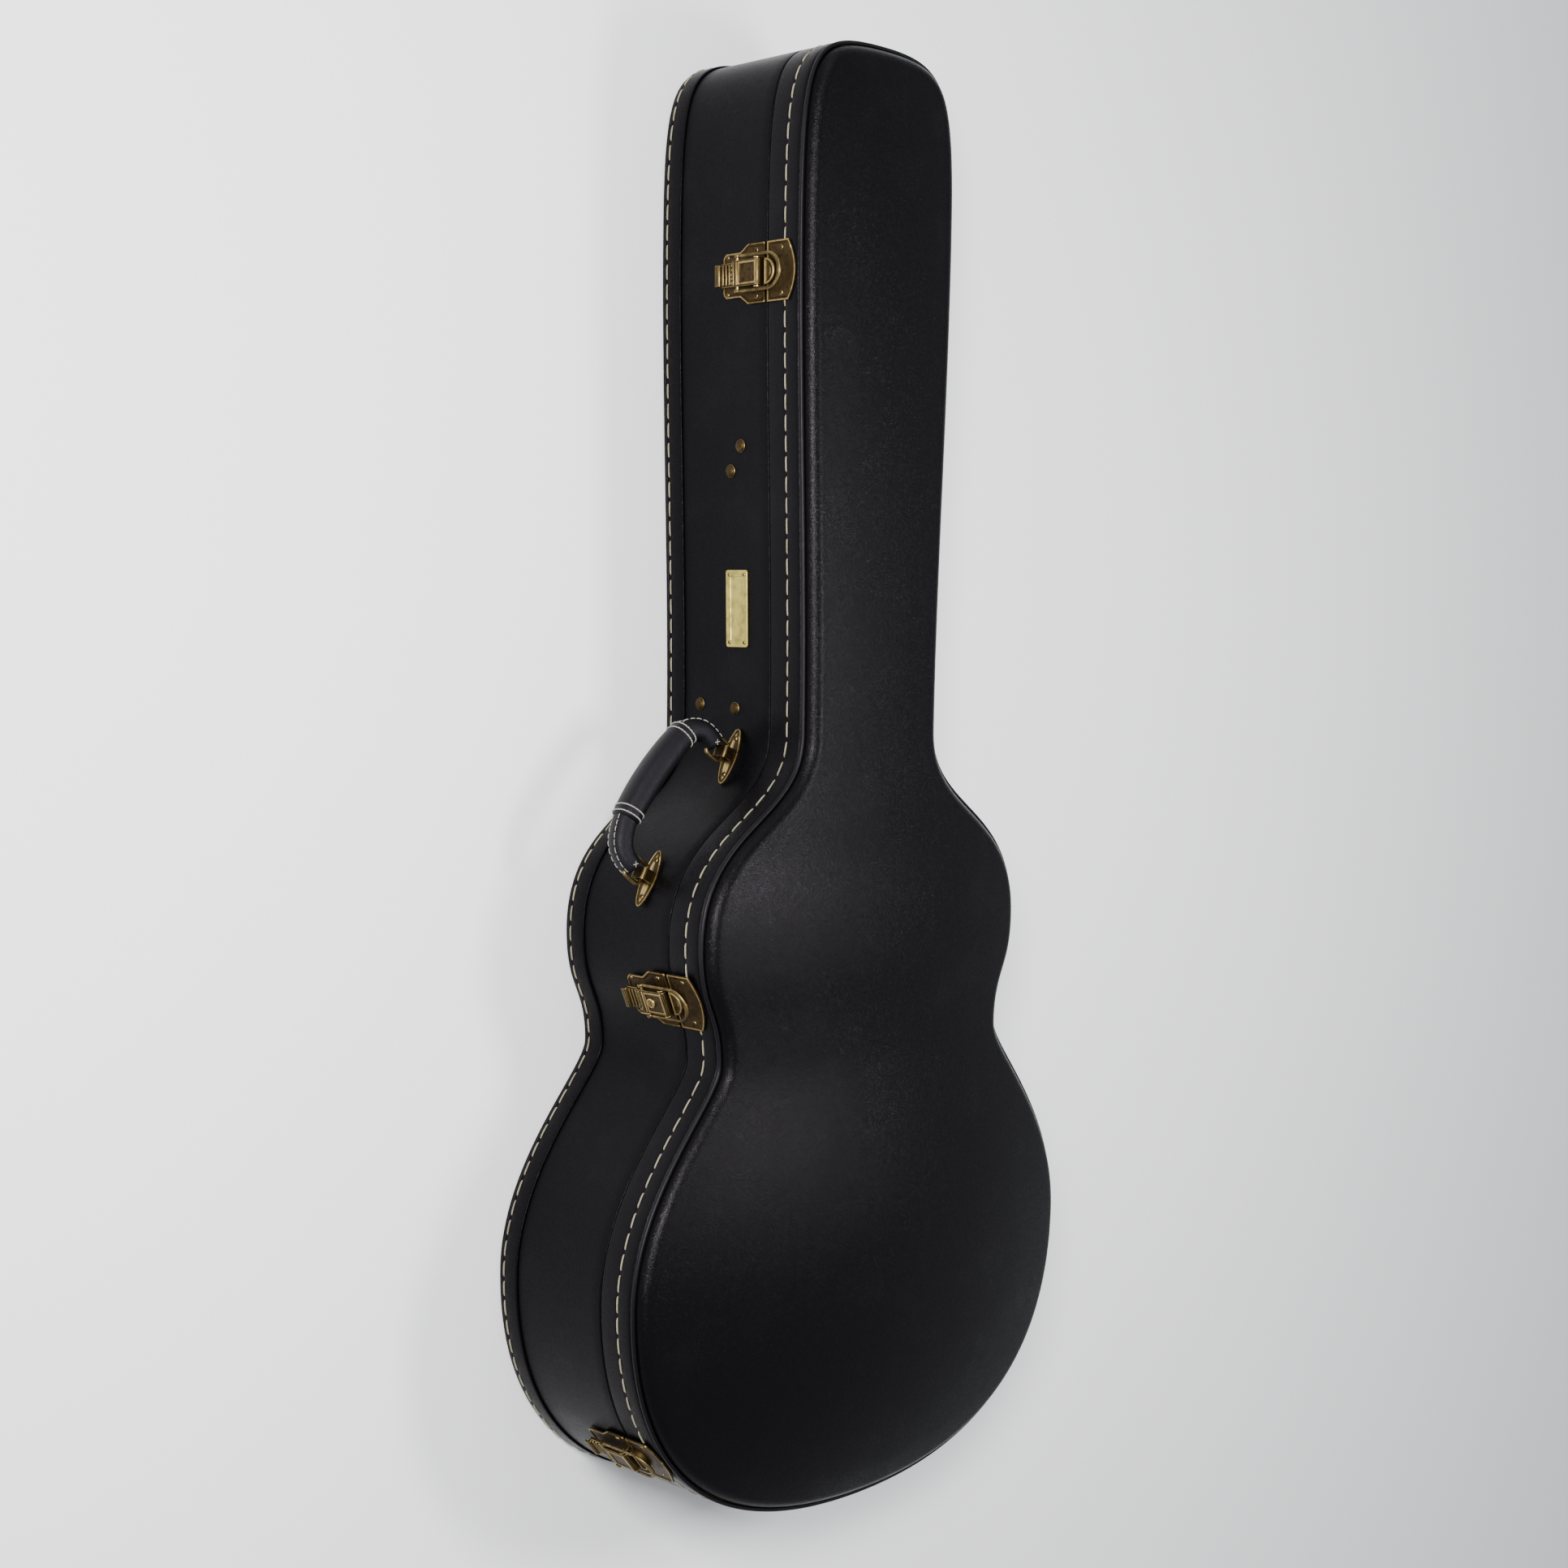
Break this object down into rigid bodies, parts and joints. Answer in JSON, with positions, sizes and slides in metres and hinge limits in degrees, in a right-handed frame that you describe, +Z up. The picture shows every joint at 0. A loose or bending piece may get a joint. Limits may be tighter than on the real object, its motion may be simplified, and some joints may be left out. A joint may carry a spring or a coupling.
{
  "type": "guitar case",
  "caption": "Hard-shell acoustic guitar case with an arched hinged lid, draw latches, a key lock, a swinging carry handle and a plush-lined inside with a compartment.",
  "frame": {"origin": "the middle of the flat back that the case rests on, on its centre line", "axes": "+Z up through the lid, +X towards the wide tail end, -Y the side with the handle and the latches, +Y the side with the hinges"},
  "size_m": [1.1036, 0.4782, 0.185],
  "materials": {
    "grained_vinyl": "black leather-grained vinyl, satin",
    "band_vinyl": "black grained vinyl band, sewn with cream thread",
    "piping_vinyl": "smooth black vinyl piping, semi-gloss",
    "plywood": "pale plywood, unfinished",
    "plush": "short dark red plush",
    "ribbon": "black woven ribbon",
    "antique_brass": "antiqued, brown in the recesses and worn bright on the edges",
    "bright_brass": "brushed, lacquered",
    "handle_leather": "black leather, padded, with sewn ends"
  },
  "bodies": {
    "tub": {"back_band": "band_vinyl", "back_panel": "grained_vinyl", "back_piping": "piping_vinyl", "compartment_rail_left": "plush", "compartment_rail_right": "plush", "compartment_wall": "plush", "handle_plate_head": "antique_brass", "handle_plate_tail": "antique_brass", "head_hinge_pin": "antique_brass", "head_hinge_tub_leaf": "antique_brass", "inner_board": "plywood", "lower_hinge_pin": "antique_brass", "lower_hinge_tub_leaf": "antique_brass", "name_plate": "bright_brass", "neck_cradle": "plush", "neck_latch_plate": "antique_brass", "neck_lever_pin": "antique_brass", "side_nail_1": "antique_brass", "side_nail_2": "antique_brass", "side_nail_3": "antique_brass", "side_nail_4": "antique_brass", "side_nail_5": "antique_brass", "side_nail_6": "antique_brass", "side_nail_7": "antique_brass", "side_nail_8": "antique_brass", "side_wall": "grained_vinyl", "tail_latch_plate": "antique_brass", "tail_lever_pin": "antique_brass", "tub_lining": "plush", "upper_hinge_pin": "antique_brass", "upper_hinge_tub_leaf": "antique_brass", "waist_latch_plate": "antique_brass", "waist_lever_pin": "antique_brass"},
    "lid": {"head_hinge_lid_leaf": "antique_brass", "lid_arch_panel": "grained_vinyl", "lid_band": "band_vinyl", "lid_lining": "plush", "lid_piping": "piping_vinyl", "lid_side_wall": "plywood", "lower_hinge_lid_leaf": "antique_brass", "neck_latch_keeper": "antique_brass", "tail_latch_keeper": "antique_brass", "upper_hinge_lid_leaf": "antique_brass", "waist_latch_keeper": "antique_brass"},
    "neck_lever": {"neck_latch_lever": "antique_brass", "neck_claw_pin": "antique_brass"},
    "neck_claw": {"neck_latch_claw": "antique_brass"},
    "waist_lever": {"waist_latch_lever": "antique_brass", "waist_claw_pin": "antique_brass"},
    "waist_claw": {"waist_latch_claw": "antique_brass"},
    "lock_plug": {"lock_plug": "bright_brass"},
    "tail_lever": {"tail_latch_lever": "antique_brass", "tail_claw_pin": "antique_brass"},
    "tail_claw": {"tail_latch_claw": "antique_brass"},
    "handle": {"handle_core": "handle_leather", "handle_grip": "handle_leather", "handle_link_head": "antique_brass", "handle_link_tail": "antique_brass"},
    "compartment_flap": {"compartment_flap": "plush", "flap_ribbon": "ribbon"}
  },
  "joints": [
    {"name": "lid_hinge", "type": "hinge", "parent": "tub", "child": "lid", "pos_m": [0.33647, 0.23667, 0.115], "axis": [-0.9837, -0.1799, 0], "range_deg": [0, 105]},
    {"name": "neck_lever_pivot", "type": "hinge", "parent": "tub", "child": "neck_lever", "pos_m": [-0.37821, -0.08813, 0.1102], "axis": [-0.9999, -0.0157, 0], "range_deg": [0, 120]},
    {"name": "neck_claw_pivot", "type": "hinge", "parent": "neck_lever", "child": "neck_claw", "pos_m": [-0.37819, -0.08913, 0.0905], "axis": [-0.9999, -0.0157, 0], "range_deg": [-96, 0]},
    {"name": "waist_lever_pivot", "type": "hinge", "parent": "tub", "child": "waist_lever", "pos_m": [0.15348, -0.17094, 0.1102], "axis": [-0.9225, -0.386, 0], "range_deg": [0, 120]},
    {"name": "waist_claw_pivot", "type": "hinge", "parent": "waist_lever", "child": "waist_claw", "pos_m": [0.15387, -0.17186, 0.0905], "axis": [-0.9225, -0.386, 0], "range_deg": [-96, 0]},
    {"name": "lock_turn", "type": "hinge", "parent": "waist_lever", "child": "lock_plug", "pos_m": [0.15479, -0.17408, 0.099], "axis": [0.386, -0.9225, 0], "range_deg": [-90, 0]},
    {"name": "tail_lever_pivot", "type": "hinge", "parent": "tub", "child": "tail_lever", "pos_m": [0.48383, -0.19977, 0.1102], "axis": [-0.771, -0.6368, 0], "range_deg": [0, 120]},
    {"name": "tail_claw_pivot", "type": "hinge", "parent": "tail_lever", "child": "tail_claw", "pos_m": [0.48447, -0.20054, 0.0905], "axis": [-0.771, -0.6368, 0], "range_deg": [-96, 0]},
    {"name": "handle_swing", "type": "hinge", "parent": "tub", "child": "handle", "pos_m": [0.02038, -0.12937, 0.083], "axis": [0.7352, -0.6778, 0], "range_deg": [-75, 55]},
    {"name": "flap_hinge", "type": "hinge", "parent": "tub", "child": "compartment_flap", "pos_m": [-0.1445, 0.04, 0.062], "axis": [-1, 0, 0], "range_deg": [0, 90]}
  ],
  "couplings": [
    {"joint": "neck_claw_pivot", "follows": "neck_lever_pivot", "ratio": -0.8},
    {"joint": "waist_claw_pivot", "follows": "waist_lever_pivot", "ratio": -0.8},
    {"joint": "tail_claw_pivot", "follows": "tail_lever_pivot", "ratio": -0.8}
  ]
}
